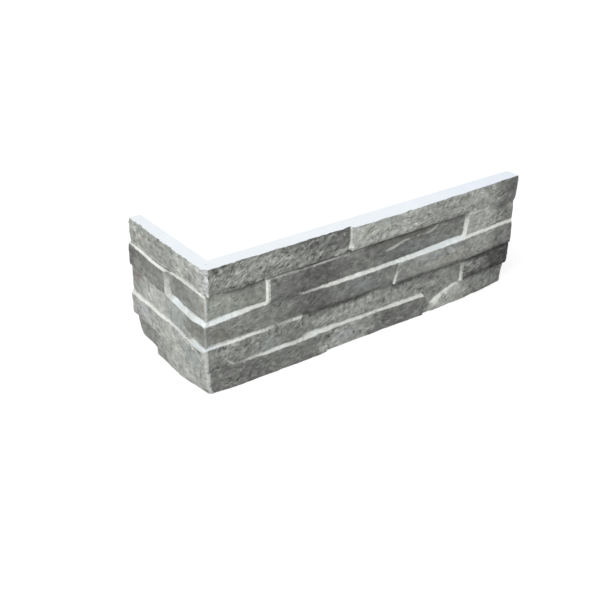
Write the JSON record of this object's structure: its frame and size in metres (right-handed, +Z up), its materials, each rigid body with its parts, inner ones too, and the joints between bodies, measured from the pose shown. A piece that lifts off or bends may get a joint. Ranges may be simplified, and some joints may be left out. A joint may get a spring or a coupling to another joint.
{
  "type": "stone cladding corner piece",
  "caption": "L-shaped moulded cladding piece with a flat back and courses of split stones, which wraps the outside corner of a wall.",
  "frame": {"origin": "foot of the wall's outside corner, where the two backs meet on the base", "axes": "+X along the long leg, with its back on y = 0; +Y along the short leg, with its back on x = 0; +Z up the wall's corner"},
  "size_m": [0.4529, 0.1645, 0.15],
  "materials": {
    "stoneware": "matte"
  },
  "bodies": {
    "root": {"corner_piece": "stoneware"}
  },
  "joints": []
}
